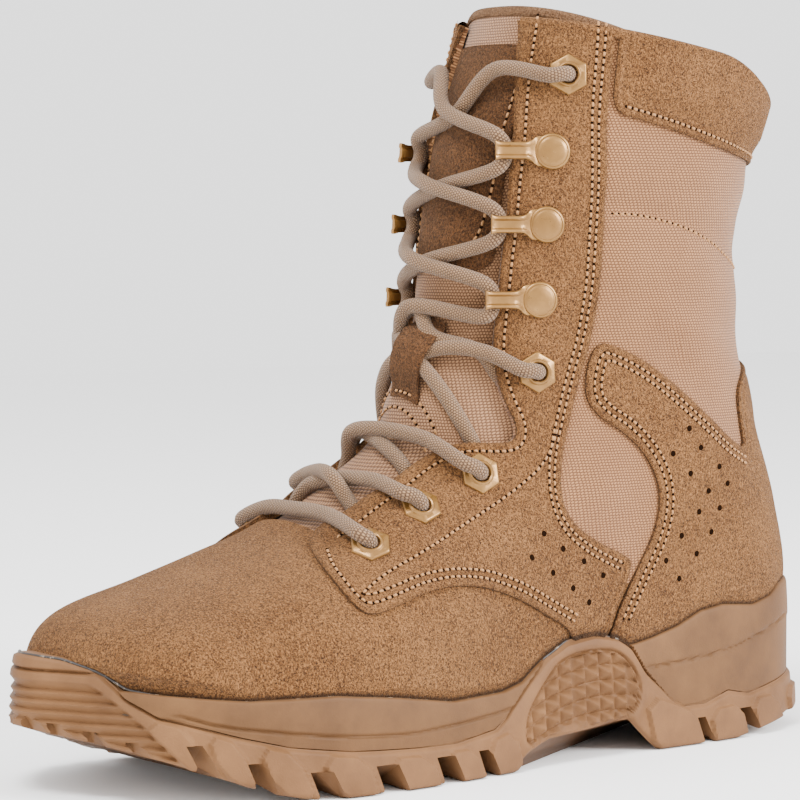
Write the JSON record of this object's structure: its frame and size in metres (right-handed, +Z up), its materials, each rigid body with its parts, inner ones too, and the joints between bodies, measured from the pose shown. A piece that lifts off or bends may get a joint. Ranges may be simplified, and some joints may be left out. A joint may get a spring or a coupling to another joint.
{
  "type": "combat boot",
  "caption": "Laced ankle-high combat boot with suede and nylon upper, padded collar, speed hooks and a lugged rubber sole.",
  "frame": {"origin": "on the ground under the middle of the sole", "axes": "+Z up, toe towards -Y, lateral side of this left boot towards +X"},
  "size_m": [0.1098, 0.312, 0.2584],
  "materials": {
    "suede": "brushed tan suede, nappy and matt",
    "dark_suede": "darker brown suede",
    "upper_nylon": "coarse basket-weave nylon",
    "tongue_nylon": "coarse basket-weave nylon over padding",
    "insole_fabric": "flat brushed sock lining",
    "outsole_rubber": "moulded matt rubber",
    "midsole_rubber": "finely textured moulded midsole",
    "lace_cord": "round braided cord",
    "hardware": "satin tan paint on stamped metal"
  },
  "bodies": {
    "root": {"outsole": "outsole_rubber", "midsole": "midsole_rubber", "upper": "upper_nylon", "insole": "insole_fabric", "tongue": "tongue_nylon", "tongue_patch": "dark_suede", "lace_keeper": "dark_suede", "quarter_lateral": "suede", "quarter_medial": "suede", "counter": "suede", "collar_cuff": "suede", "eyelet_1_lateral": "hardware", "eyelet_1_medial": "hardware", "eyelet_2_lateral": "hardware", "eyelet_2_medial": "hardware", "eyelet_3_lateral": "hardware", "eyelet_3_medial": "hardware", "eyelet_4_lateral": "hardware", "eyelet_4_medial": "hardware", "hook_5_lateral": "hardware", "hook_5_medial": "hardware", "hook_6_lateral": "hardware", "hook_6_medial": "hardware", "hook_7_lateral": "hardware", "hook_7_medial": "hardware", "eyelet_8_lateral": "hardware", "eyelet_8_medial": "hardware", "lace_bar_1": "lace_cord", "lace_crossing_1_2": "lace_cord", "lace_crossing_2_3": "lace_cord", "lace_crossing_3_4": "lace_cord", "lace_crossing_4_5": "lace_cord", "lace_crossing_5_6": "lace_cord", "lace_crossing_6_7": "lace_cord", "lace_crossing_7_8": "lace_cord"}
  },
  "joints": []
}
